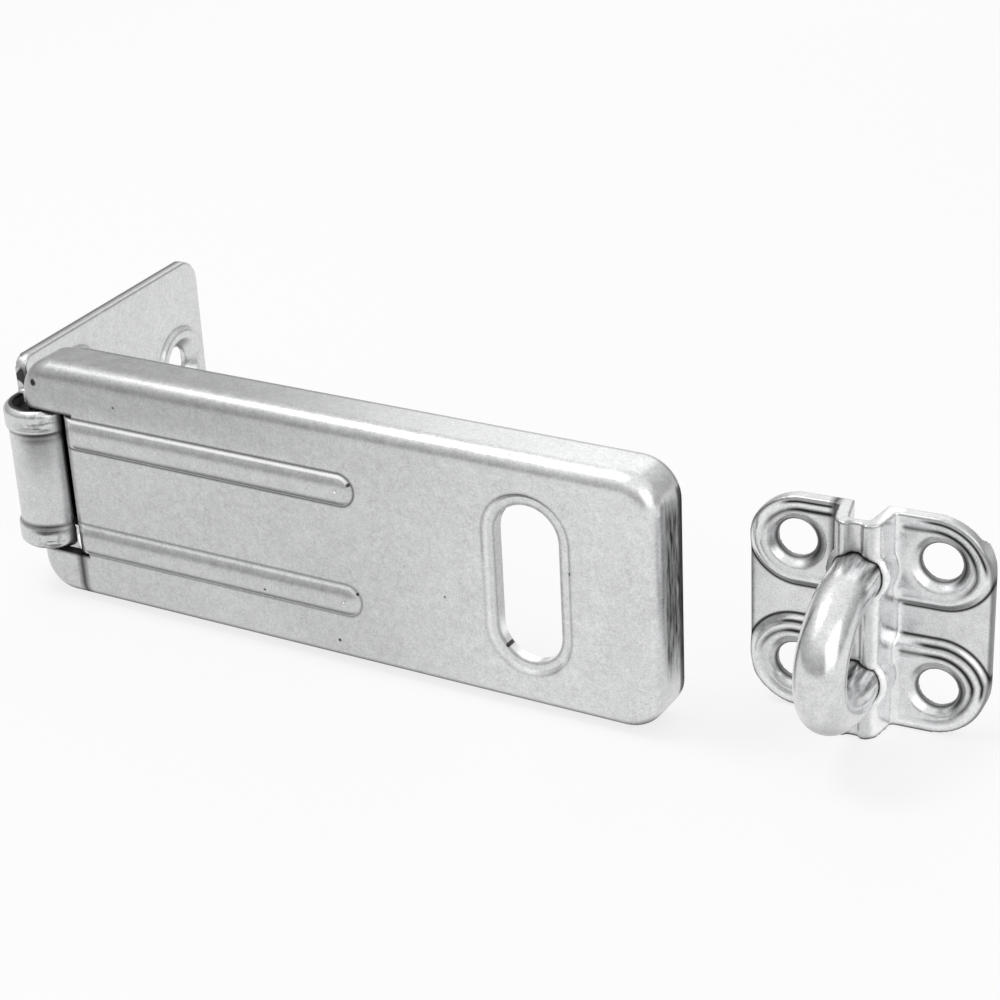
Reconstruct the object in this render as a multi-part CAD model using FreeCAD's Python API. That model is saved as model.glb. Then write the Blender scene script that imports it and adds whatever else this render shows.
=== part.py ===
import FreeCAD, Part
import math
import os

from FreeCAD import Vector

# Security hasp: a pressed steel cover leaf on a concealed hinge, its hinge plate,
# and the separate staple that the leaf's slot drops over.
# Millimetres. Each piece is drawn from the hinge axis, at mid-height, and Z runs along the pin.
# The hinge plate reaches along +Y. The leaf stands a little past square to it and reaches
# towards +X, with its face towards -Y. Each part of the leaf is drawn square, then turned.
# The finished pieces are moved together, so that the origin is in the middle of the hinge
# plate's back, where it lies on the door.

# Cover leaf
leaf_length = 114.3
leaf_height = 41.3
leaf_depth = 8.6
leaf_sheet = 1.8
leaf_bend = 3.0
leaf_corner = 6.0
leaf_past_pin = 1.1
leaf_past_square_deg = 3.2
face_to_pin = 4.0
rim_cutback = 0.8
rim_cutback_ramp = 2.0

# Stiffening ribs pressed in the leaf
rib_width = 5.0
rib_height = 1.0
rib_spacing = 18.8
rib_end = 62.6

# Slot for the staple
slot_width = 10.6
slot_length = 25.8
slot_from_end = 21.1
slot_band = 2.0
slot_sink = 0.6
slot_band_slope = 0.7

# Hinge: knuckle curled from the leaf, barrel curled from the hinge plate
pin_radius = 1.95
knuckle_gap = 0.3
plate_sheet = 2.0
barrel_length = 24.6
barrel_free_edge_deg = -20.0
knuckle_end_deg = 325.0
notch_play = 0.3
tongue_side_gap = 0.5
tongue_bend = 3.2
tongue_inner_bend = 0.6
tongue_barrel_gap = 0.35
knuckle_recess = 1.2
pin_recess = 2.2
barrel_end_bevel = 0.7
ring_length = 3.6
ring_step = 0.45
ring_slope = 0.6

# Hinge plate
plate_reach = 53.5
plate_height = 36.0
plate_near_edge = 2.2
plate_far_corner = 4.5
plate_near_corner = 2.5
near_screw_reach = 15.5
near_screw_spacing = 15.6
far_screw_reach = 45.5

# Dimpled screw holes
screw_hole_radius = 3.0
dimple_radius = 5.0
boss_radius = 6.2
boss_foot_radius = 7.0
boss_height = 0.8
boss_hollow_wall = 1.6
boss_hollow_slope = 0.2
dimple_land = 1.0

# Staple plate
staple_place_x = 137.9
staple_place_z = -3.75
staple_door_plane_y = 10.3
staple_width = 36.3
staple_height = 34.6
staple_corner = 8.5
staple_sheet = 2.0
pad_height = 1.4
pad_slope = 1.3
pad_radius = 7.6
pad_bevel = 0.4
ridge_height = 5.6
ridge_crest_half_width = 3.2
ridge_foot_half_width = 4.2
ridge_crest_bend = 2.4
ridge_inner_bend = 0.6
groove_width = 2.8
groove_depth = 0.7
collar_radius = 4.8
collar_below_crest = 0.9
collar_bevel = 0.9
staple_screw_spacing_x = 21.5
staple_screw_spacing_z = 20.3
staple_dimple_radius = 4.5
staple_dimple_depth = 0.9
staple_dimple_rim = 0.9
staple_dimple_rim_depth = 0.2

# Staple bar
bar_radius = 3.75
bar_spacing = 17.2
bar_arch_depth = 11.0
bar_crown_radius = 7.0
bar_projection = 26.6
bar_end_gap = 0.6
bar_droop_deg = 5.0

# Worked out from the values above
face_y = -face_to_pin
back_y = face_y + leaf_depth
left_x = -leaf_past_pin
right_x = left_x + leaf_length
knuckle_radius = pin_radius + leaf_sheet
barrel_inner = knuckle_radius + knuckle_gap
barrel_outer = barrel_inner + plate_sheet
joggle_x = barrel_outer + tongue_barrel_gap
notch_x = joggle_x + tongue_bend
notch_height = barrel_length + 2 * notch_play
tongue_height = notch_height - 2 * tongue_side_gap
pads_top = staple_sheet + pad_height
ridge_crest = pads_top + ridge_height
margin = 1.0
hair = 0.01

UP = Vector(0, 0, 1)
BACK = Vector(0, 1, 0)


def polar(radius, degrees):
    """A point of the XY plane, given from the hinge axis."""
    angle = math.radians(degrees)
    return Vector(radius * math.cos(angle), radius * math.sin(angle), 0)


def arc(radius, start, end):
    """An arc about the hinge axis in the XY plane."""
    middle = polar(radius, (start + end) / 2)
    return Part.Arc(polar(radius, start), middle, polar(radius, end)).toShape()


def quarter(centre, radius, start, end):
    """An arc about any centre of the XY plane."""
    points = [centre + polar(radius, degrees) for degrees in (start, (start + end) / 2, end)]
    return Part.Arc(*points).toShape()


def line(first, second):
    return Part.LineSegment(first, second).toShape()


def upright(edges, height):
    """A profile of the XY plane as a prism, centred on Z = 0."""
    prism = Part.Face(Part.Wire(Part.__sortEdges__(edges))).extrude(UP * height)
    prism.translate(UP * (-height / 2))
    return prism


def block(low, high):
    """A box between two corners."""
    size = high - low
    return Part.makeBox(size.x, size.y, size.z, low)


def rounded_outline(x0, x1, z0, z1, radii, y):
    """A rectangle of the XZ plane with its own radius at each corner.

    The radii start at the low X, low Z corner and go round by high X, low Z.
    """
    corners = [(x0, z0, 1, 1), (x1, z0, -1, 1), (x1, z1, -1, -1), (x0, z1, 1, -1)]
    starts, middles, ends = [], [], []
    for number, (x, z, sx, sz) in enumerate(corners):
        radius = radii[number]
        inner = Vector(x + sx * radius, y, z + sz * radius)
        along_x = Vector(inner.x, y, z)
        along_z = Vector(x, y, inner.z)
        diagonal = Vector(-sx, 0, -sz).normalize() * radius
        first, last = (along_z, along_x) if number % 2 == 0 else (along_x, along_z)
        starts.append(first)
        middles.append(inner + diagonal)
        ends.append(last)
    edges = []
    for number in range(4):
        edges.append(Part.Arc(starts[number], middles[number], ends[number]).toShape())
        edges.append(line(ends[number], starts[(number + 1) % 4]))
    return Part.Wire(edges)


def rounded_slab(x0, x1, z0, z1, radii, y0, y1):
    """A plate with rounded corners that fills Y from y0 to y1."""
    outline = rounded_outline(x0, x1, z0, z1, radii, y0)
    return Part.Face(outline).extrude(BACK * (y1 - y0))


def pan_block(inset, y_front, y_back, bend):
    """The leaf's outline, inset all round, with its front edge rounded."""
    half = leaf_height / 2 - inset
    radius = leaf_corner - inset
    solid = rounded_slab(left_x + inset, right_x - inset, -half, half, [radius] * 4, y_front, y_back)
    front = [edge for edge in solid.Edges if edge.BoundBox.YMax < y_front + hair]
    return solid.makeFillet(bend, front)


def pan_shell():
    """The pressed pan: a face with a rim turned back all round it."""
    outer = pan_block(0, face_y, back_y, leaf_bend)
    inner = pan_block(leaf_sheet, face_y + leaf_sheet, back_y + margin, leaf_bend - leaf_sheet)
    return outer.cut(inner)


def rim_trim():
    """What the rim loses at the hinge end, so that the hinge plate swings clear of it."""
    deep = leaf_corner + left_x
    low_y = back_y - rim_cutback
    half = leaf_height / 2 + margin
    points = [(left_x - margin, low_y), (deep, low_y), (deep + rim_cutback_ramp, back_y),
              (deep + rim_cutback_ramp, back_y + margin), (left_x - margin, back_y + margin)]
    corners = [Vector(x, y, 0) for x, y in points]
    edges = [line(corners[i], corners[(i + 1) % len(corners)]) for i in range(len(corners))]
    return upright(edges, 2 * half)


def rib(radius_offset, level):
    """One rib as a solid: a long rounded bead with a domed far end.

    radius_offset shrinks the bead to the sheet's inner side. level is the flat it stands on.
    """
    crown_radius = ((rib_width / 2) ** 2 + rib_height ** 2) / (2 * rib_height)
    radius = crown_radius - radius_offset
    axis_y = face_y - rib_height + crown_radius
    half = math.sqrt(radius ** 2 - (axis_y - level) ** 2)
    end_x = rib_end - rib_width / 2
    crown = Vector(notch_x, axis_y - radius, 0)
    low = Vector(notch_x, level, -half)
    high = Vector(notch_x, level, half)
    section = Part.Face(Part.Wire([Part.Arc(low, crown, high).toShape(), line(high, low)]))
    bead = section.extrude(Vector(end_x - notch_x, 0, 0))
    side = Vector(end_x + half, level, 0)
    top = Vector(end_x, axis_y - radius, 0)
    foot = Vector(end_x, level, 0)
    shoulder = math.asin(half / radius) / 2
    middle = Vector(end_x + radius * math.sin(shoulder), axis_y - radius * math.cos(shoulder), 0)
    half_section = Part.Face(Part.Wire([Part.Arc(top, middle, side).toShape(), line(side, foot),
                                        line(foot, top)]))
    dome = half_section.revolve(foot, BACK, 360)
    return bead.fuse(dome)


def obround(half_width, half_straight, y0, y1):
    """An upright slot shape, centred on the leaf's slot."""
    x = right_x - slot_from_end
    high = half_straight + half_width
    return rounded_slab(x - half_width, x + half_width, -high, high,
                        [half_width - hair] * 4, y0, y1)


def sloped_obround(width_front, width_back, half_straight, y0, y1):
    """A slot shape whose sides slope from one half-width to another."""
    x = right_x - slot_from_end
    ends = []
    for z in (-half_straight, half_straight):
        ends.append(Part.makeCone(width_front, width_back, y1 - y0, Vector(x, y0, z), BACK))
    low = [Vector(x - width_front, y0, -half_straight), Vector(x + width_front, y0, -half_straight),
           Vector(x + width_back, y1, -half_straight), Vector(x - width_back, y1, -half_straight)]
    edges = [line(low[i], low[(i + 1) % 4]) for i in range(4)]
    middle = Part.Face(Part.Wire(edges)).extrude(UP * 2 * half_straight)
    return middle.fuse(ends)


def tongue():
    """The strip between the ribs that steps back and curls round the pin."""
    front = tongue_bend
    back = tongue_bend - leaf_sheet
    first = Vector(notch_x, face_y + front, 0)
    inner = tongue_inner_bend
    outer = tongue_inner_bend + leaf_sheet
    second = Vector(joggle_x - inner, pin_radius - inner, 0)
    edges = [
        quarter(first, front, 270, 180),
        line(first + polar(front, 180), second + polar(inner, 0)),
        quarter(second, inner, 0, 90),
        line(second + polar(inner, 90), polar(pin_radius, 90)),
        arc(pin_radius, 90, knuckle_end_deg),
        line(polar(pin_radius, knuckle_end_deg), polar(knuckle_radius, knuckle_end_deg)),
        arc(knuckle_radius, knuckle_end_deg, 90),
        line(polar(knuckle_radius, 90), second + polar(outer, 90)),
        quarter(second, outer, 90, 0),
        line(second + polar(outer, 0), first + polar(back, 180)),
        quarter(first, back, 180, 270),
        line(first + polar(back, 270), first + polar(front, 270)),
    ]
    strip = upright(edges, tongue_height)
    foot = tongue_height / 2 - knuckle_recess
    ends = [block(Vector(-barrel_inner, -barrel_inner, low), Vector(barrel_inner, barrel_inner, high))
            for low, high in ((foot, barrel_length), (-barrel_length, -foot))]
    return strip.cut(Part.makeCompound(ends))


def make_cover_leaf():
    """The swinging cover leaf, pressed from one sheet."""
    leaf = pan_shell()
    leaf = leaf.cut(rim_trim())
    ribs = [rib(0, face_y), rib(0, face_y)]
    hollows = [rib(leaf_sheet, face_y + leaf_sheet), rib(leaf_sheet, face_y + leaf_sheet)]
    for solids in (ribs, hollows):
        solids[0].translate(UP * (rib_spacing / 2))
        solids[1].translate(UP * (-rib_spacing / 2))
    leaf = leaf.fuse(ribs).cut(Part.makeCompound(hollows))
    straight = (slot_length - slot_width) / 2
    hole = slot_width / 2
    floor = hole + slot_band - slot_band_slope
    sunk = sloped_obround(hole + slot_band, floor, straight, face_y, face_y + slot_sink)
    pressed_back = sloped_obround(hole + slot_band + leaf_sheet / 2, hole + slot_band, straight,
                                  face_y + leaf_sheet / 2, face_y + leaf_sheet + slot_sink)
    leaf = leaf.fuse(pressed_back).cut(sunk)
    leaf = leaf.cut(obround(hole, straight, face_y - margin, face_y + leaf_sheet + slot_sink + margin))
    notch = block(Vector(left_x - margin, face_y - margin - rib_height, -notch_height / 2),
                  Vector(notch_x, back_y + margin, notch_height / 2))
    leaf = leaf.cut(notch).fuse(tongue()).removeSplitter()
    leaf.rotate(Vector(0, 0, 0), UP, -leaf_past_square_deg)
    return leaf


def make_hinge_pin():
    """The plain pin inside the knuckle."""
    length = barrel_length - 2 * pin_recess
    return Part.makeCylinder(pin_radius, length, Vector(0, 0, -length / 2), UP)


def barrel():
    """The barrel, curled from the hinge plate round the knuckle."""
    end = 360 + barrel_free_edge_deg
    reach = plate_near_edge + margin
    edges = [
        arc(barrel_outer, 180, end),
        line(polar(barrel_outer, end), polar(barrel_inner, end)),
        arc(barrel_inner, end, 180),
        line(Vector(-barrel_inner, 0, 0), Vector(-barrel_inner, reach, 0)),
        line(Vector(-barrel_inner, reach, 0), Vector(-barrel_outer, reach, 0)),
        line(Vector(-barrel_outer, reach, 0), Vector(-barrel_outer, 0, 0)),
    ]
    solid = upright(edges, barrel_length)
    rims = [edge for edge in solid.Edges
            if hasattr(edge.Curve, "Radius") and abs(edge.Curve.Radius - barrel_outer) < hair]
    return solid.makeChamfer(barrel_end_bevel, rims)


def revolved(points, axis_point, axis, across=UP):
    """A closed outline of (radius, depth) pairs turned about an axis."""
    corners = [axis_point + across * radius + axis * depth for radius, depth in points]
    edges = [line(corners[i], corners[(i + 1) % len(corners)]) for i in range(len(corners))]
    return Part.Face(Part.Wire(edges)).revolve(axis_point, axis, 360)


def barrel_waist():
    """What the barrel loses between its two end rings, on the side away from the plate."""
    foot = barrel_length / 2 - ring_length
    far = barrel_outer + margin
    outline = [(barrel_outer - ring_step, -foot + ring_slope), (barrel_outer, -foot), (far, -foot),
               (far, foot), (barrel_outer, foot), (barrel_outer - ring_step, foot - ring_slope)]
    ring = revolved(outline, Vector(0, 0, 0), UP, Vector(1, 0, 0))
    room = block(Vector(-2 * barrel_outer, -2 * barrel_outer, -barrel_length),
                 Vector(2 * barrel_outer, 0, barrel_length))
    return ring.common(room)


def boss_added(centre, outward):
    """The raised ring round one screw hole of the hinge plate."""
    top = plate_sheet + boss_height
    return revolved([(0, plate_sheet / 2), (boss_foot_radius, plate_sheet), (boss_radius, top), (0, top)],
                    centre, outward)


def boss_removed(centre, outward):
    """The dimple's cone, the hole and the hollow behind the raised ring."""
    top = plate_sheet + boss_height
    cone = revolved([(0, top + margin), (dimple_radius + margin, top + margin), (dimple_radius, top),
                     (screw_hole_radius, dimple_land), (screw_hole_radius, -margin), (0, -margin)],
                    centre, outward)
    inner_foot = screw_hole_radius + boss_hollow_wall
    hollow = revolved([(inner_foot, 0), (boss_radius - boss_hollow_slope, boss_height),
                       (boss_radius + boss_hollow_slope, boss_height), (boss_foot_radius, 0),
                       (boss_foot_radius, -margin), (inner_foot, -margin)],
                      centre, outward)
    return cone.fuse(hollow)


def hinge_screws():
    """The centres of the hinge plate's screw holes, on its door side."""
    places = [(near_screw_reach, near_screw_spacing / 2), (near_screw_reach, -near_screw_spacing / 2),
              (far_screw_reach, 0)]
    return [Vector(-barrel_outer, y, z) for y, z in places]


def make_hinge_plate():
    """The plate screwed to the door, with the barrel curled from it."""
    half = plate_height / 2
    outline = rounded_outline(plate_near_edge, plate_reach, -half, half,
                              [plate_near_corner, plate_far_corner, plate_far_corner, plate_near_corner], 0)
    sheet = Part.Face(outline).extrude(BACK * (-plate_sheet))
    sheet.rotate(Vector(0, 0, 0), UP, 90)
    sheet.translate(Vector(-barrel_outer - sheet.BoundBox.XMin, 0, 0))
    outward = Vector(1, 0, 0)
    plate = sheet.fuse(barrel())
    plate = plate.fuse([boss_added(centre, outward) for centre in hinge_screws()])
    plate = plate.cut(Part.makeCompound([boss_removed(centre, outward) for centre in hinge_screws()]))
    return plate.cut(barrel_waist()).removeSplitter()


def staple_point(x, n, z):
    """A point given from the staple plate's middle, n out from its door side."""
    return Vector(staple_place_x + x, staple_door_plane_y - n, staple_place_z + z)


def staple_screws():
    """The staple plate's four screw places, as (x, z) from its middle."""
    return [(sx * staple_screw_spacing_x / 2, sz * staple_screw_spacing_z / 2)
            for sx in (-1, 1) for sz in (-1, 1)]


def staple_slab(inset, n0, n1):
    """The staple plate's outline as a slab."""
    wide = staple_width / 2 - inset
    high = staple_height / 2 - inset
    low = staple_point(-wide, n1, -high)
    top = staple_point(wide, n0, high)
    return rounded_slab(low.x, top.x, low.z, top.z, [staple_corner - inset] * 4, low.y, top.y)


def pad(grow, n0, n1, x, z):
    """One raised screw pad: a cone round the hole, run out to the plate's edges and the ridge."""
    foot = pad_radius + grow
    top = foot - pad_slope
    far = staple_width
    sx = math.copysign(1, x)
    sz = math.copysign(1, z)
    cone = Part.makeCone(foot, top, n1 - n0, staple_point(x, n0, z), -BACK)
    below = staple_point(x, n0, z)
    edge_low = [Vector(0, 0, -sz * foot), Vector(0, 0, sz * far),
                Vector(0, n0 - n1, sz * far), Vector(0, n0 - n1, -sz * top)]
    corners = [below + offset for offset in edge_low]
    edges = [line(corners[i], corners[(i + 1) % 4]) for i in range(4)]
    inward = Part.Face(Part.Wire(edges)).extrude(Vector(-x, 0, 0))
    edge_side = [Vector(sx * foot, 0, 0), Vector(-sx * foot, 0, 0),
                 Vector(-sx * foot, n0 - n1, 0), Vector(sx * top, n0 - n1, 0)]
    corners = [below + offset for offset in edge_side]
    edges = [line(corners[i], corners[(i + 1) % 4]) for i in range(4)]
    outward = Part.Face(Part.Wire(edges)).extrude(Vector(0, 0, sz * far))
    return cone.fuse([inward, outward]).removeSplitter()


def bevelled_pad(x, z):
    """One raised screw pad with its front edge eased."""
    solid = pad(0, staple_sheet, pads_top, x, z)
    front = staple_point(x, pads_top, z)
    edges = [edge for edge in solid.Edges if edge.BoundBox.YMax < front.y + hair
             and edge.CenterOfMass.distanceToPoint(front) < staple_width / 2]
    return solid.makeChamfer(pad_bevel, edges)


def ridge(offset, bend):
    """The hump down the middle of the staple plate, as a solid bar.

    offset shrinks it to the sheet's inner side, and bend rounds its crest.
    """
    crest = ridge_crest
    flank = math.atan2(ridge_foot_half_width - ridge_crest_half_width, ridge_height)
    slope = math.tan(flank)
    across = offset / math.cos(flank)
    level = crest - offset
    crest_half = ridge_crest_half_width - across + offset * slope
    foot_half = crest_half + slope * (level + margin)
    corners = [staple_point(-foot_half, -margin, 0), staple_point(-crest_half, level, 0),
               staple_point(crest_half, level, 0), staple_point(foot_half, -margin, 0)]
    edges = [line(corners[i], corners[(i + 1) % 4]) for i in range(4)]
    solid = upright(edges, 2 * staple_height)
    top = [edge for edge in solid.Edges
           if edge.BoundBox.YMax < corners[1].y + hair and edge.BoundBox.ZLength > margin]
    return solid.makeFillet(bend, top)


def ridge_groove():
    """The shallow groove pressed along the middle of the ridge's crest."""
    half = groove_width / 2
    corners = [staple_point(-half, ridge_crest + margin, 0), staple_point(-half, ridge_crest, 0),
               staple_point(-half + groove_depth, ridge_crest - groove_depth, 0),
               staple_point(half - groove_depth, ridge_crest - groove_depth, 0),
               staple_point(half, ridge_crest, 0), staple_point(half, ridge_crest + margin, 0)]
    edges = [line(corners[i], corners[(i + 1) % len(corners)]) for i in range(len(corners))]
    return upright(edges, 2 * staple_height)


def drooped(solid):
    """The solid turned down a little, as the bar stands in its plate."""
    solid.rotate(staple_point(0, ridge_crest, 0), Vector(1, 0, 0), bar_droop_deg)
    return solid


def collar(side):
    """The round swelling of the ridge about one leg of the bar."""
    crest = ridge_crest - collar_below_crest
    points = [(0, 0), (collar_radius, 0), (collar_radius, crest - collar_bevel),
              (collar_radius - collar_bevel, crest), (0, crest)]
    return revolved(points, staple_point(0, 0, side * bar_spacing / 2), -BACK)


def staple_dimple(x, z):
    """What one screw place loses: a shallow bowl with an eased rim, and the hole."""
    wide = staple_dimple_radius + staple_dimple_rim
    outline = [(0, pads_top + margin), (wide, pads_top + margin), (wide, pads_top),
               (staple_dimple_radius, pads_top - staple_dimple_rim_depth),
               (screw_hole_radius, pads_top - staple_dimple_depth), (screw_hole_radius, -margin),
               (0, -margin)]
    return revolved(outline, staple_point(x, 0, z), -BACK)


def make_staple_plate():
    """The staple's plate: four dimpled screw pads and a ridge that holds the bar."""
    outline = staple_slab(0, 0, ridge_crest + margin)
    raised = [bevelled_pad(x, z) for x, z in staple_screws()]
    raised.append(ridge(0, ridge_crest_bend).cut(ridge_groove()))
    raised.extend([collar(-1), collar(1)])
    plate = staple_slab(0, 0, staple_sheet).fuse([solid.common(outline) for solid in raised])
    hollows = [pad(-staple_sheet / 2, -margin, pad_height, x, z) for x, z in staple_screws()]
    hollows.append(ridge(staple_sheet, ridge_inner_bend))
    plate = plate.cut(Part.makeCompound(hollows))
    for x, z in staple_screws():
        plate = plate.cut(staple_dimple(x, z))
    for side in (-1, 1):
        start = staple_point(0, -ridge_crest, side * bar_spacing / 2)
        plate = plate.cut(drooped(Part.makeCylinder(bar_radius, 3 * ridge_crest, start, -BACK)))
    return plate.removeSplitter()


def make_staple_bar():
    """The round bar bent to a tall three-centred arch, its ends set in the staple plate."""
    half = bar_spacing / 2
    spring = bar_projection - bar_radius - bar_arch_depth
    crown = bar_crown_radius
    crown_level = bar_arch_depth - crown
    side_radius = (half ** 2 + crown_level ** 2 - crown ** 2) / (2 * (half - crown))
    side_centre = half - side_radius
    joint_angle = math.atan2(crown_level, -side_centre)

    def arch_point(centre, level, radius, angle, side):
        return staple_point(0, spring + level + radius * math.sin(angle),
                            side * (centre + radius * math.cos(angle)))

    edges = [Part.Arc(arch_point(0, crown_level, crown, joint_angle, -1),
                      arch_point(0, crown_level, crown, math.pi / 2, 1),
                      arch_point(0, crown_level, crown, joint_angle, 1)).toShape()]
    for side in (-1, 1):
        edges.append(Part.Arc(*[arch_point(side_centre, 0, side_radius, angle, side)
                                for angle in (0, joint_angle / 2, joint_angle)]).toShape())
        edges.append(line(staple_point(0, bar_end_gap, side * half), staple_point(0, spring, side * half)))
    path = Part.Wire(Part.__sortEdges__(edges))
    start = path.OrderedVertexes[0].Point
    section = Part.Wire([Part.makeCircle(bar_radius, start, BACK)])
    return drooped(path.makePipeShell([section], True, False))


def write_parts():
    os.makedirs("parts", exist_ok=True)
    plate_back = Vector(-barrel_outer, (plate_near_edge + plate_reach) / 2, 0)
    makers = {
        "cover_leaf": make_cover_leaf,
        "hinge_pin": make_hinge_pin,
        "hinge_plate": make_hinge_plate,
        "staple_plate": make_staple_plate,
        "staple_bar": make_staple_bar,
    }
    for name, maker in makers.items():
        shape = maker()
        shape.translate(-plate_back)
        print(name, shape.ShapeType, len(shape.Solids), shape.isValid(), round(shape.Volume, 1))
        shape.exportStep(os.path.join("parts", name + ".step"))


write_parts()
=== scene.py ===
# %% [markdown]
# # A security hasp in bright zinc
#
# The real object is five pieces of steel: a cover leaf pressed from sheet, its hinge plate and pin,
# and a separate staple made of a pressed plate and a bent round bar. All of them are zinc plated, so
# the whole job of this scene is one finish, seen in good light. The pieces arrive with their true
# shapes in metres. They could be modelled again here, but a copy would only drift from the pressed
# and bent forms, so they stay and get their finish.

import math

import bpy
from mathutils import Matrix, Vector


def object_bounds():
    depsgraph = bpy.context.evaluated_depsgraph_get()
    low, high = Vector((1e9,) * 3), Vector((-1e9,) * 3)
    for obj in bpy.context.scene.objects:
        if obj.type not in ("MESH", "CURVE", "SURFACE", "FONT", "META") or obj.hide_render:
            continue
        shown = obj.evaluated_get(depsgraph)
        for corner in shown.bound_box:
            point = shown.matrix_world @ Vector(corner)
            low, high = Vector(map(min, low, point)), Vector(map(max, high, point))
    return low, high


MM = 0.001

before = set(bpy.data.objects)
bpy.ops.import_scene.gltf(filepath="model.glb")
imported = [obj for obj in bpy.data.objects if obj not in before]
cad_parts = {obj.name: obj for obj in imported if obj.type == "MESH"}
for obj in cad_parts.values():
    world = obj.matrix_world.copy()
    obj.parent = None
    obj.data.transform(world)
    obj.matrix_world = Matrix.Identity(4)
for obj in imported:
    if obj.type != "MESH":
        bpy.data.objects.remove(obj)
cad_low, cad_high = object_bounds()
bpy.ops.object.select_all(action="DESELECT")
print("pieces:", sorted(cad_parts))
print("size in mm:", [round(side / MM, 1) for side in cad_high - cad_low])

# %% [markdown]
# ## The camera
#
# A hasp is long and flat, and its leaf is photographed from its right, from a little above, with a
# long lens. The camera can be aimed at a target, or placed by a position and three angles. The
# angles are used here, because each of them can be measured by itself: how far the camera turns
# from the leaf's face, how far it looks down, and how much its horizon leans.

# %% Camera
CAMERA_PLACE = Vector((239.35, -313.99, 164.18)) * MM
CAMERA_TURN = math.radians(27.66)
CAMERA_DOWN = math.radians(25.70)
CAMERA_LEAN = math.radians(-2.97)
CAMERA_LENS = 86.85
CAMERA_SHIFT_Y = -0.0015

bpy.ops.object.camera_add()
camera = bpy.context.object
camera.name = "camera"
camera.data.lens = CAMERA_LENS
camera.data.shift_y = CAMERA_SHIFT_Y
camera.data.clip_start = 10 * MM
turned = Matrix.Rotation(CAMERA_TURN, 4, "Z") @ Matrix.Rotation(math.pi / 2 - CAMERA_DOWN, 4, "X")
leaned = turned @ Matrix.Rotation(CAMERA_LEAN, 4, "Z")
camera.matrix_world = Matrix.Translation(CAMERA_PLACE) @ leaned
bpy.context.scene.camera = camera
bpy.context.scene.view_settings.view_transform = "Standard"
print("camera to hinge pin, mm:", round(CAMERA_PLACE.length / MM))

# %% [markdown]
# ## Shader sums as Python
#
# Node trees get long when every sum is a node with two links. A small class wraps an output socket,
# so that `tone + grain * 0.1` adds the Math nodes by itself, and one method adds any other node from
# its type, its settings and its inputs. The settings come first, because some of them decide which
# sockets a node has.

# %% Node helpers
class Socket:
    """An output of a node. Arithmetic on it adds Math nodes to its tree."""

    def __init__(self, tree, socket):
        self.tree = tree
        self.socket = socket

    def maths(self, operation, first, second):
        return self.tree.node("ShaderNodeMath", {"operation": operation}, {0: first, 1: second})

    def __add__(self, other):
        return self.maths("ADD", self, other)

    def __sub__(self, other):
        return self.maths("SUBTRACT", self, other)

    def __rsub__(self, other):
        return self.maths("SUBTRACT", other, self)

    def __mul__(self, other):
        return self.maths("MULTIPLY", self, other)

    def __pow__(self, other):
        return self.maths("POWER", self, other)

    def __mod__(self, other):
        return self.maths("FLOORED_MODULO", self, other)

    def __abs__(self):
        return self.maths("ABSOLUTE", self, 0.0)

    def over(self, other):
        return self.maths("MAXIMUM", self, other)

    def under(self, other):
        return self.maths("MINIMUM", self, other)

    def smooth(self, start, end):
        """A soft step: 0 at start, 1 at end."""
        return self.tree.node("ShaderNodeMapRange", {"interpolation_type": "SMOOTHSTEP"},
                              {"Value": self, "From Min": start, "From Max": end})

    def line(self, place, width):
        """1 at a place, falling straight to 0 a width away on either side."""
        return (1 - abs(self - place) * (1 / width)).over(0.0)

    __radd__ = __add__
    __rmul__ = __mul__


def length(first, second):
    """The length of a flat vector."""
    return (first * first + second * second) ** 0.5


class Tree:
    """A node tree that grows one node at a time."""

    def __init__(self, owner):
        owner.use_nodes = True
        self.nodes = owner.node_tree.nodes
        self.links = owner.node_tree.links
        self.nodes.clear()

    def node(self, kind, settings, inputs, output=0):
        """Adds a node and gives the named output."""
        made = self.nodes.new(kind)
        for name, value in settings.items():
            if name == "stops":
                ramp = made.color_ramp.elements
                while len(ramp) < len(value):
                    ramp.new(1.0)
                for stop, (place, grey) in zip(ramp, value):
                    stop.position = place
                    stop.color = (grey, grey, grey, 1.0)
            else:
                setattr(made, name, value)
        for name, value in inputs.items():
            if isinstance(name, int):
                socket = made.inputs[name]
            else:
                socket = next(s for s in made.inputs if s.enabled and s.name == name)
            if isinstance(value, Socket):
                self.links.new(value.socket, socket)
            else:
                socket.default_value = value
        if not made.outputs:
            return made
        found = [s for s in made.outputs if s.enabled and (output == 0 or s.name == output)]
        return Socket(self, found[0])


print("operators:", [name for name in vars(Socket) if name.startswith("__r")])

# %% [markdown]
# ## The studio
#
# Bright plating shows the room rather than its own colour, so the room is the light. A white sweep
# all round gives flat grey metal with no shape in it. This room is pale low down, dimmer from the
# horizon up, and has a ring of soft light overhead, which draws the bright line along each bend.
# What the camera sees behind the object is plain white.

# %% World
SKY_STOPS = [(0.0, 1.0), (0.49, 0.95), (0.53, 0.42), (0.60, 0.52), (0.70, 0.64), (0.77, 0.78),
             (0.84, 1.05), (1.0, 1.1)]
AMBIENT = 0.50

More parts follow.
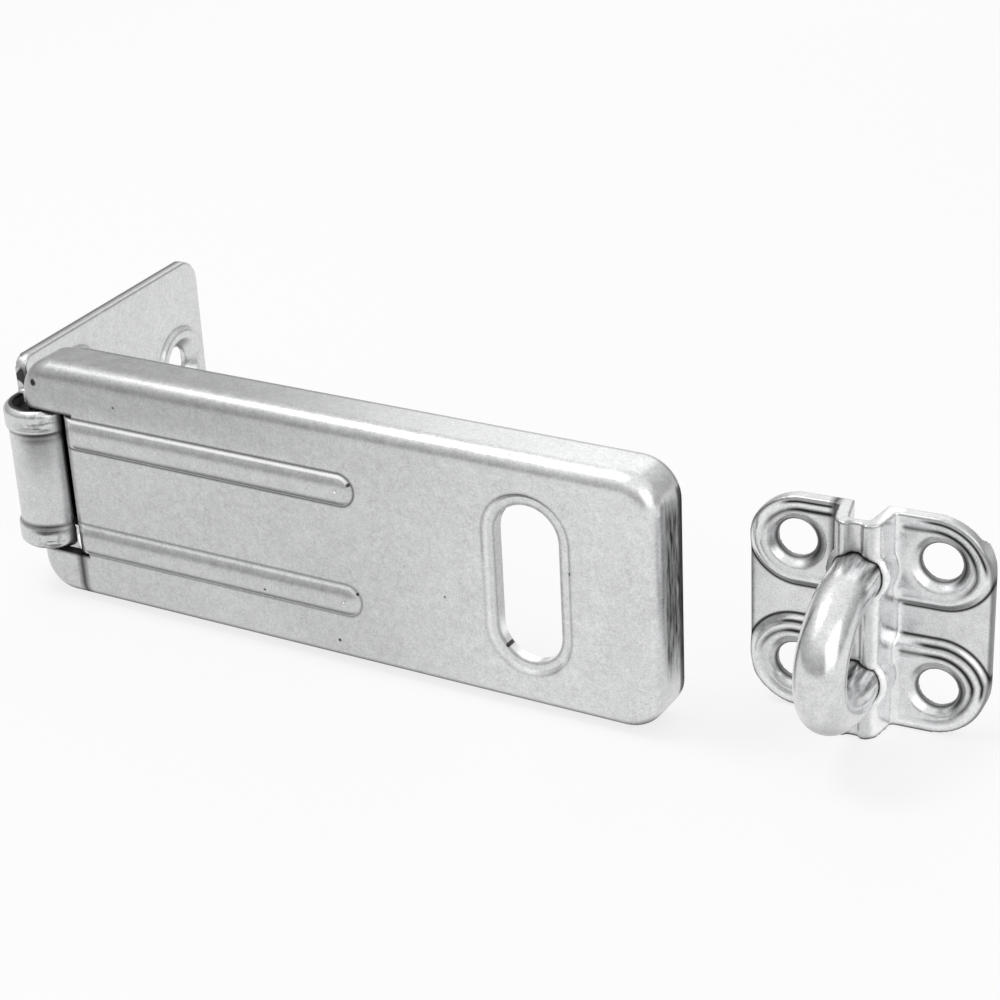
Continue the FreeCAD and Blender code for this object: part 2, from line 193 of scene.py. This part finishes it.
world = bpy.data.worlds.new("studio")
bpy.context.scene.world = world
sky = Tree(world)
seen = sky.node("ShaderNodeLightPath", {}, {}, "Is Camera Ray")
mirrored = sky.node("ShaderNodeLightPath", {}, {}, "Is Glossy Ray")
mirrored = mirrored + sky.node("ShaderNodeLightPath", {}, {}, "Is Transmission Ray")
direction = sky.node("ShaderNodeTexCoord", {}, {}, "Generated")
height = sky.node("ShaderNodeSeparateXYZ", {}, {"Vector": direction}, "Z")
room = sky.node("ShaderNodeValToRGB", {"stops": SKY_STOPS}, {"Fac": height * 0.5 + 0.5}, "Color")
lit = sky.node("ShaderNodeMix", {"data_type": "RGBA"},
               {"Factor": mirrored, "A": (AMBIENT, AMBIENT, AMBIENT, 1.0), "B": room})
shown = sky.node("ShaderNodeMix", {"data_type": "RGBA"},
                 {"Factor": seen, "A": lit, "B": (1.0, 1.0, 1.0, 1.0)})
surface = sky.node("ShaderNodeBackground", {}, {"Color": shown, "Strength": 1.0})
sky.node("ShaderNodeOutputWorld", {}, {"Surface": surface})
print("sky stops:", len(SKY_STOPS))

# %% Lamps
LAMP_REACH = 0.75
LAMPS = {
    "key_box": {"from": (-0.40, -0.12, 0.90), "size": 0.26, "watts": 1.5},
    "fill_box": {"from": (0.80, -0.45, 0.40), "size": 0.60, "watts": 1.2},
    "back_box": {"from": (-0.20, 0.80, 0.40), "size": 0.50, "watts": 0.5},
}
middle = (cad_low + cad_high) / 2


def add_lamp(name, place, size, watts):
    """A square soft box that faces the middle of the object."""
    bpy.ops.object.light_add(type="AREA")
    lamp = bpy.context.object
    lamp.name = name
    lamp.data.size = size
    lamp.data.energy = watts
    towards = Vector(place).normalized()
    lamp.location = middle + towards * LAMP_REACH
    lamp.rotation_euler = towards.to_track_quat("Z", "Y").to_euler()
    return lamp


for name, lamp in LAMPS.items():
    made = add_lamp(name, lamp["from"], lamp["size"], lamp["watts"])
    print(name, "at", [round(x, 2) for x in made.location])

# %% [markdown]
# ## The floor
#
# The hasp stands on a pale table. A plain white floor would turn grey where the lamps are far, so
# the part of it that the camera and the metal see is mixed with a steady white, and the rest is an
# ordinary matt surface that still takes the object's shadow.

# %% Floor
FLOOR_SIZE = 4.0
FLOOR_GREY = 0.86
FLOOR_WHITE_SHARE = 0.72

bpy.ops.mesh.primitive_plane_add(size=FLOOR_SIZE, location=(middle.x, middle.y, cad_low.z))
floor = bpy.context.object
floor.name = "floor"
table_top = bpy.data.materials.new("table_top")
top = Tree(table_top)
shown = top.node("ShaderNodeLightPath", {}, {}, "Is Camera Ray")
shown = shown + top.node("ShaderNodeLightPath", {}, {}, "Is Glossy Ray")
shown = shown + top.node("ShaderNodeLightPath", {}, {}, "Is Transmission Ray")
matt = top.node("ShaderNodeBsdfDiffuse", {}, {"Color": (FLOOR_GREY, FLOOR_GREY, FLOOR_GREY, 1.0)})
white = top.node("ShaderNodeEmission", {}, {"Strength": 1.08})
surface = top.node("ShaderNodeMixShader", {}, {0: shown * FLOOR_WHITE_SHARE, 1: matt, 2: white})
top.node("ShaderNodeOutputMaterial", {}, {"Surface": surface})
floor.data.materials.append(table_top)
print("floor at z in mm:", round(cad_low.z / MM, 2))

# %% [markdown]
# ## Bright zinc
#
# Zinc plating over cold-rolled steel is a light, slightly cool grey with three scales in it: a fine
# frosty grain, a blotchy mottle a few millimetres wide, and broad clouds from the plating bath. On top
# of these the colour gets painted shade in the creases and under the pieces, painted dark lines along
# sharp edges, and on some pieces painted highlights, and it is made rougher where it is darkened. Each
# of these is one mask, and the masks are added up into a tone, a roughness and a bump.

# %% Zinc
GRAIN_SIZE = 0.30 * MM
FLECK_SIZE = 0.9 * MM
MOTTLE_SIZE = 2.6 * MM
CLOUD_SIZE = 22 * MM
SPECK_SPACING = 9 * MM
SPECK_SIZE = 0.035
FROST = 0.0035


def noise(tree, place, size, detail):
    """Cloudy noise about zero."""
    return tree.node("ShaderNodeTexNoise", {}, {"Vector": place, "Scale": 1 / size, "Detail": detail},
                     "Fac") - 0.5


def axes(tree, place):
    """The three coordinates of a place, in millimetres."""
    return [tree.node("ShaderNodeSeparateXYZ", {}, {"Vector": place}, axis) * (1 / MM) for axis in "XYZ"]


def slope(tree):
    """The height part of the surface's normal: 1 faces up, -1 faces the table."""
    normal = tree.node("ShaderNodeNewGeometry", {}, {}, "Normal")
    return tree.node("ShaderNodeSeparateXYZ", {}, {"Vector": normal}, "Z")


def facing_down(tree):
    """1 on surfaces that face the table, which are given painted shade."""
    return slope(tree).smooth(-0.35, -0.75)


def zinc(name, marks, tone=0.58, roughness=0.30, contrast=1.0):
    """Bright zinc plating.

    marks(tree, place) gives two fields of the piece's own: the share of the tone that is left, and
    a pressed relief in millimetres. tone is the plating's grey, and contrast scales the blotches.
    """
    material = bpy.data.materials.new(name)
    tree = Tree(material)
    place = tree.node("ShaderNodeTexCoord", {}, {}, "Object")
    grain = noise(tree, place, GRAIN_SIZE, 2.0)
    fleck = noise(tree, place, FLECK_SIZE, 3.0)
    mottle = noise(tree, place, MOTTLE_SIZE, 4.0)
    cloud = noise(tree, place, CLOUD_SIZE, 2.0)
    spot = tree.node("ShaderNodeTexVoronoi", {"feature": "F1"},
                     {"Vector": place, "Scale": 1 / SPECK_SPACING}, "Distance")
    speck = spot.smooth(SPECK_SIZE, SPECK_SIZE * 0.5)
    left, relief = marks(tree, place)
    light = tone + (cloud * 0.12 + mottle * 0.15) * contrast + fleck * 0.21 + grain * 0.34
    light = light * (1 - speck * 0.55) * left
    colour = tree.node("ShaderNodeCombineColor", {}, {"Red": light * 0.995, "Green": light,
                                                       "Blue": light * 1.008}, "Color")
    dull_and_shaded = roughness + mottle * 0.14 + fleck * 0.10 + (1 - left).over(0.0) * 0.3 + speck * 0.3
    height = relief + (grain + fleck + mottle - speck * 3.0) * FROST
    bumped = tree.node("ShaderNodeBump", {}, {"Strength": 1.0, "Distance": MM, "Height": height}, "Normal")
    shader = tree.node("ShaderNodeBsdfPrincipled", {}, {"Base Color": colour, "Metallic": 1.0,
                                                        "Roughness": dull_and_shaded, "Normal": bumped})
    tree.node("ShaderNodeOutputMaterial", {}, {"Surface": shader})
    return material


# %% [markdown]
# ## Painted light and shade, and marks, that belong to a place
#
# Light and shade are painted along the pressed forms: painted shade along the foot of each pressed
# form, a painted highlight along its upper shoulder, painted shade high on the leaf near the hinge and
# painted light towards its free end. They could be painted on an image, but here each is a distance
# from an outline, worked out in the shader in millimetres. On the leaf the outlines are the rim, the
# ribs and the slot, and its axes are first turned square.

# %% Marks of the leaf
HINGE_AXIS = Vector((6.05, -27.85, 0)) * MM
LEAF_TURN = math.radians(3.2)
LEAF_START, LEAF_END, LEAF_HALF = -1.1, 113.2, 20.65
LEAF_CORNER = 6.0
RIM_BACK = 4.6
RIB_SPACING, RIB_HALF, RIB_END = 18.8, 2.5, 60.1
SLOT_PLACE, SLOT_STRAIGHT, SLOT_OUTER, SLOT_INNER = 92.1, 7.6, 7.3, 5.3
TONGUE_HALF = 12.1
NICKS = {(2.6, 17.2): 0.75, (58.15, -16.8): 0.35, (45.3, -10.35): 0.3, (99.2, 3.5): 0.3,
         (88.1, -11.0): 0.45, (62.1, 10.6): 0.4, (62.2, -7.9): 0.35}
NOTCH_HALF, NOTCH_END = 12.6, 9.6
# The tongue's step gets painted shade below the second height.
STEP_PLACE, STEP_SHADE_BELOW = 7.9, -8.0


def leaf_marks(tree, place):
    """Painted shade and highlights along the leaf's forms, and a streaked free end in painted shade."""
    pivot = Matrix.Rotation(LEAF_TURN, 3, "Z") @ HINGE_AXIS
    square = tree.node("ShaderNodeMapping", {}, {"Vector": place, "Location": -pivot,
                                                 "Rotation": (0.0, 0.0, LEAF_TURN)})
    x, y, z = axes(tree, square)
    in_x = abs(x - (LEAF_START + LEAF_END) / 2) - ((LEAF_END - LEAF_START) / 2 - LEAF_CORNER)
    in_z = abs(z) - (LEAF_HALF - LEAF_CORNER)
    rim = length(in_x.over(0.0), in_z.over(0.0)) + in_x.over(in_z).under(0.0) - LEAF_CORNER
    across = z % RIB_SPACING - RIB_SPACING / 2
    rib = length((x - RIB_END).over(0.0), across) - RIB_HALF
    slot = length(x - SLOT_PLACE, (abs(z) - SLOT_STRAIGHT).over(0.0)) - SLOT_OUTER
    hole = slot + (SLOT_OUTER - SLOT_INNER)
    # wall: a painted highlight on the slot's inner wall, low on the leaf
    wall = hole.line(0.0, 0.2) * y.smooth(-3.3, -2.9)
    upper = z.smooth(2.0, 4.0)
    crown = across.smooth(0.5, 1.5)
    # foot: painted shade along the foot of the ribs, the slot and the slot's hole
    foot = rib.line(0.25, 0.35) * (0.50 + 0.22 * upper) + slot.line(0.0, 0.35) * (0.16 + 0.20 * upper)
    foot = foot + hole.line(0.2, 0.4) * 0.40
    # shoulder: a painted highlight along the ribs' upper shoulders, the slot's edge and its lower wall
    shoulder = rib.line(-0.25, 0.26) * crown * (0.4 + 0.7 * upper) + slot.line(-0.5, 0.35) * 0.20
    shoulder = shoulder + wall * z.smooth(-6.0, -10.0) * 0.9
    # underside: painted shade on surfaces that face the table
    underside = facing_down(tree) * 0.75
    # back_edge: a painted dark reflection along the rim's back edge
    back_edge = y.smooth(RIM_BACK - 0.7, RIM_BACK - 0.3) * 0.35
    # shade: painted shade high on the leaf near the hinge, and painted light towards the free end
    shade = z.smooth(11.0, 15.5) * x.smooth(80.0, 15.0) * 0.22 - x.smooth(50.0, 105.0) * 0.20
    # knuckle: painted shade inside the knuckle, where it sits in the barrel
    knuckle = length(x, y).smooth(4.3, 3.9) * abs(z).smooth(TONGUE_HALF + 0.2, TONGUE_HALF) * 0.95
    nicks = sum(length(x - near, z - high).smooth(radius, radius * 0.5) * 0.9
                for (near, high), radius in NICKS.items()) * y.smooth(-1.0, -2.0)
    # notch: a painted shadow along the notch's edges above and below the barrel
    notch = abs(z).line(NOTCH_HALF, 0.55) * x.smooth(NOTCH_END + 0.3, NOTCH_END) * 0.85
    # step: painted shade on the tongue's step, low down beside the barrel
    step = x.line(STEP_PLACE, 1.3) * y.smooth(-2.2, -2.8) * z.smooth(STEP_SHADE_BELOW, STEP_SHADE_BELOW - 0.8)
    # end_edge and lower_line: painted dark reflections along the free end's back edge and the lower bend
    end_edge = x.smooth(LEAF_END - 0.6, LEAF_END - 0.2) * y.smooth(2.8, 3.8) * 0.8
    lower_line = rim.smooth(-1.0, -0.3) * z.smooth(-16.0, -18.5) * y.smooth(-6.5, -7.5) * 0.35
    # end: painted shade on the free end's flange, broken by streaks along its length
    streaked = tree.node("ShaderNodeMapping", {}, {"Vector": place, "Scale": (1.0, 1.0, 0.18)})
    streak = noise(tree, streaked, 0.7 * MM, 4.0)
    end = x.smooth(LEAF_END - 0.6, LEAF_END - 0.2) * y.smooth(-1.4, -0.4)
    end = end * z.smooth(-15.0, -8.0) * z.smooth(18.5, 12.0) * (0.62 + streak * 1.9).over(0.0)
    left = (1 + shoulder) * (1 - foot) * (1 - underside) * (1 - back_edge) * (1 - shade) * (1 - end)
    left = left * (1 - knuckle) * (1 - nicks) * (1 - notch) * (1 - end_edge)
    return left * (1 - step * 0.85) * (1 - lower_line), 0.0


# %% [markdown]
# The smaller pieces have too many outlines to write down, so they take their painted lines from the
# shape itself: a short look outwards finds the creases, which get painted shade, and a short look
# inwards finds the sharp edges, which get a painted dark line.

# %% Marks of the small pieces
BAR_STREAK_START = -33.0
BAR_STREAK_END = -22.0
CREASE_REACH = 1.1 * MM
EDGE_REACH = 0.5 * MM


def creases(tree, depth=0.8):
    """1 in the open, less in a crease, where it paints shade."""
    found = tree.node("ShaderNodeAmbientOcclusion", {"samples": 4}, {"Distance": CREASE_REACH}, "AO")
    return 1 - (1 - found) * depth


def edges(tree, depth=0.5):
    """1 on a flat, less on a sharp edge, where it paints a dark line for the edge's dark reflection."""
    found = tree.node("ShaderNodeAmbientOcclusion", {"samples": 4, "only_local": True, "inside": True},
                      {"Distance": EDGE_REACH}, "AO")
    return 1 - (1 - found) * depth


# Painted shade in the creases only.
def plain_marks(tree, place):
    return creases(tree), 0.0


def bar_marks(tree, place):
    """Painted shade in creases and below, and drawn streaks on the legs where they enter the plate."""
    x, y, z = axes(tree, place)
    drawn = tree.node("ShaderNodeMapping", {}, {"Vector": place, "Scale": (1.0, 0.15, 1.0)})
    at_root = y.smooth(BAR_STREAK_START, BAR_STREAK_START + 4.0)
    at_root = at_root * y.smooth(BAR_STREAK_END, BAR_STREAK_END - 2.0)
    streak = noise(tree, drawn, 1.3 * MM, 2.0) * at_root
    left = creases(tree) * (1 + (streak * 5.0).over(-0.8).under(0.30) - at_root * 0.10)
    # facing_down: painted shade where the bar faces the table
    return left * (1 - facing_down(tree) * 0.35), streak * 0.15


# %% Marks of the hinge plate
BARREL_AXIS = (6.05, -27.85)
# The side of the barrel that faces the camera; the painted shade on the barrel is strongest there.
BARREL_FRONT = (0.464, -0.886)
BARREL_FOOT = 8.7
BARREL_END = 12.3
BARREL_SIDE = -27.0
BARREL_INNER = 4.05
PLATE_TOP = 18.0


def hinge_plate_marks(tree, place):
    """Painted shade in creases, on edges, by the barrel's rings and inside it, and a darker cut top."""
    x, y, z = axes(tree, place)
    from_axis = [x - BARREL_AXIS[0], y - BARREL_AXIS[1]]
    front, aside = BARREL_FRONT
    # middle: the barrel's side towards the camera, where its painted shade is strongest
    middle = abs(from_axis[0] * -aside + from_axis[1] * front).smooth(4.5, 0.5)
    on_barrel = y.smooth(BARREL_SIDE + 0.5, BARREL_SIDE)
    # ring_foot: painted shade along the foot of each ring
    ring_foot = abs(z).line(BARREL_FOOT - 0.5, 0.6) * on_barrel * (0.5 + middle * 0.4)
    blotch = noise(tree, place, 1.3 * MM, 2.0).smooth(0.0, 0.16)
    rolled = tree.node("ShaderNodeMapping", {}, {"Vector": place, "Scale": (0.2, 0.2, 1.0)})
    scored = noise(tree, rolled, 0.9 * MM, 2.0).smooth(0.04, 0.14)
    on_ring = abs(z).smooth(BARREL_FOOT, BARREL_FOOT + 0.4) * on_barrel
    # ring_blotches: darker blotches on the rings, on the side towards the camera
    ring_blotches = scored.over(blotch * 0.6) * middle * on_ring * 0.6
    # cut_end: painted shade on the inner edge of the barrel's cut ends
    cut_end = abs(z).smooth(BARREL_END - 0.4, BARREL_END - 0.2) * on_barrel
    cut_end = cut_end * length(*from_axis).smooth(BARREL_INNER + 1.3, BARREL_INNER + 0.9)
    spots = noise(tree, place, 2.5 * MM, 0.0).smooth(0.0, 0.08)
    near_edge = y.smooth(-24.9, -25.3) * z.smooth(BARREL_END, BARREL_END + 0.4) * (0.10 + spots * 0.80)
    # band: painted shade across the barrel by its rings, on the side towards the camera
    band = z.line(BARREL_FOOT - 1.5, 0.9) * 0.5 + z.line(-BARREL_FOOT - 0.3, 0.8) * 0.75
    # painted shade on the barrel's waist below its upper ring, on the side towards the camera
    dull_and_shaded = z.smooth(-2.0, BARREL_FOOT - 1.0) * z.smooth(BARREL_FOOT, BARREL_FOOT - 0.2) * middle
    # inside: painted shade inside the barrel
    inside = length(*from_axis).smooth(BARREL_INNER + 0.7, BARREL_INNER + 0.3) * on_barrel * 0.95
    # top: the cut top is darker, most of all along its back
    top = z.smooth(PLATE_TOP - 0.5, PLATE_TOP - 0.3) * (-0.20 - x.smooth(1.2, 0.7) * 0.45)
    # free_edge: painted shade along the barrel's free edge
    free_edge = x.smooth(11.0, 11.5) * on_barrel * 0.8
    # creases, edges and facing_down give painted shade in creases, dark edge lines and shade underneath
    left = creases(tree) * edges(tree) * (1 - ring_foot) * (1 - dull_and_shaded * on_barrel * 0.45)
    left = left * (1 - inside) * (1 + top) * (1 - free_edge) * (1 - facing_down(tree) * 0.6)
    left = left * (1 - on_barrel * 0.06) * (1 - ring_blotches) * (1 - cut_end * 0.9)
    return left * (1 - near_edge) * (1 - band * middle * on_barrel), 0.0


# %% Marks of the staple plate
STAPLE_MIDDLE = (143.95, -3.75)
STAPLE_HALF = (18.15, 17.3)
STAPLE_CORNER = 8.5
PAD_PLACE = (10.75, 10.15)
PAD_FOOT = 7.6
PAD_LINE = -2.1
HOLE_RADIUS = 3.0


def staple_plate_marks(tree, place):
    """Painted shade in creases and on edges, and painted lines and highlights round pads and holes."""
    x, y, z = axes(tree, place)
    right = x - STAPLE_MIDDLE[0]
    across = abs(right)
    up = abs(z - STAPLE_MIDDLE[1])
    in_x = across - (STAPLE_HALF[0] - STAPLE_CORNER)
    in_z = up - (STAPLE_HALF[1] - STAPLE_CORNER)
    outline = length(in_x.over(0.0), in_z.over(0.0)) + in_x.over(in_z).under(0.0) - STAPLE_CORNER
    pad = length((across - PAD_PLACE[0]).over(0.0), (PAD_PLACE[1] - up).over(0.0)) - PAD_FOOT
    inside = outline.over(pad)
    off_ridge = across.smooth(4.6, 5.6)
    above = (up - PAD_PLACE[1]) * ((z - STAPLE_MIDDLE[1]).smooth(-0.1, 0.1) * 2 - 1)
    beside = (across - PAD_PLACE[0]) * (right.smooth(-0.1, 0.1) * 2 - 1)
    towards = beside * 0.6 + above * 0.8
    # drawn: where the painted dark lines are strongest, on the outer upper side of each pad
    drawn = towards.smooth(2.6, 4.6)
    # pressed and lines: painted dark lines along each pad's outline, inside it and at its foot
    pressed = inside.line(PAD_LINE, 0.55) * towards.smooth(-3.0, 0.5) * (0.6 + drawn * 0.35)
    lines = pressed.over(pad.line(0.2, 0.38) * 0.85).over(inside.line(-0.8, 0.42) * drawn * 0.9) * off_ridge
    lines = (lines * 1.3).under(0.95)
    # rim: painted shade along the plate's outer edge, less where that edge faces up
    lit = slope(tree).smooth(0.1, 0.6)
    rim = outline.smooth(-0.6, -0.2) * (0.6 - lit * 0.5)
    # glint: a painted highlight inside each pad's outline
    glint = inside.line(PAD_LINE / 2, 0.8) * off_ridge * 0.25
    # hole: painted shade around each hole's rim, darker on the pad's outer side
    from_hole = length(across - PAD_PLACE[0], up - PAD_PLACE[1])
    hole = from_hole.line(HOLE_RADIUS + 0.1, 0.40) * 0.8
    hole = hole.over(from_hole.line(HOLE_RADIUS + 0.6, 0.8) * beside.smooth(1.0, 3.2) * 0.92)
    # flank: a painted highlight on the ridge's right flank, and a little painted shade beside its crest
    flank = right.smooth(2.4, 3.2) * right.smooth(5.6, 4.6) * 0.3
    flank = flank - right.smooth(0.4, 1.2) * right.smooth(3.2, 2.4) * 0.1
    shadow = right.line(-4.8, 1.1) * 0.85 + right.line(-1.0, 0.7) * y.smooth(-25.0, -26.0) * 0.5
    relief = inside.line(PAD_LINE, 0.9) * off_ridge * -0.2 - from_hole.smooth(4.8, HOLE_RADIUS) * 0.5
    # creases, edges and facing_down give painted shade in creases, dark edge lines and shade underneath
    left = creases(tree) * edges(tree) * (1 - lines) * (1 - rim) * (1 + glint) * (1 + flank)
    return left * (1 - hole) * (1 - shadow) * (1 - facing_down(tree) * 0.6), relief


# %% Finish each piece
FINISHES = {
    "cover_leaf": zinc("zinc_leaf", leaf_marks),
    "hinge_plate": zinc("zinc_hinge_plate", hinge_plate_marks, tone=0.68, roughness=0.28),
    # The pin's dark tone is painted shade: it sits in the barrel's shade.
    "hinge_pin": zinc("zinc_pin_painted_dark", plain_marks, tone=0.15, roughness=0.40),
    "staple_plate": zinc("zinc_staple_plate", staple_plate_marks, tone=0.70, roughness=0.28, contrast=1.8),
    "staple_bar": zinc("zinc_bar", bar_marks, tone=0.70, roughness=0.22, contrast=1.9),
}

for name, finish in FINISHES.items():
    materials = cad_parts[name].data.materials
    materials.clear()
    materials.append(finish)
    print(name, "is", finish.name)

# %% [markdown]
# ## Soft edges
#
# A press rounds every edge that it folds or dimples, and plating rounds what is left. Bevelling such
# edges one by one is slow where many of them cross. The plates are made of one even net of small
# squares instead, and the net is relaxed, which rounds all the edges at once and leaves the flats flat.

# %% Relax the pressed plates
SOFTENED = {"staple_plate": (0.28 * MM, 5), "hinge_plate": (0.35 * MM, 2)}


def soften(piece, cell, rounds):
    """Gives the piece an even net of cells and relaxes it."""
    weld = piece.modifiers.new("weld", "WELD")
    weld.merge_threshold = 0.002 * MM
    net = piece.modifiers.new("net", "REMESH")
    net.mode = "VOXEL"
    net.voxel_size = cell
    net.use_smooth_shade = True
    relax = piece.modifiers.new("relax", "SMOOTH")
    relax.factor = 0.5
    relax.iterations = rounds


for name, (cell, rounds) in SOFTENED.items():
    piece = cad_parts[name]
    soften(piece, cell, rounds)
    seen_mesh = piece.evaluated_get(bpy.context.evaluated_depsgraph_get()).data
    print(name, "has", sum(len(face.vertices) - 2 for face in seen_mesh.polygons), "triangles")

# %% [markdown]
# ## Sizes
#
# The dressed object has to keep the size of the real one; its size in millimetres is printed when the
# pieces arrive.
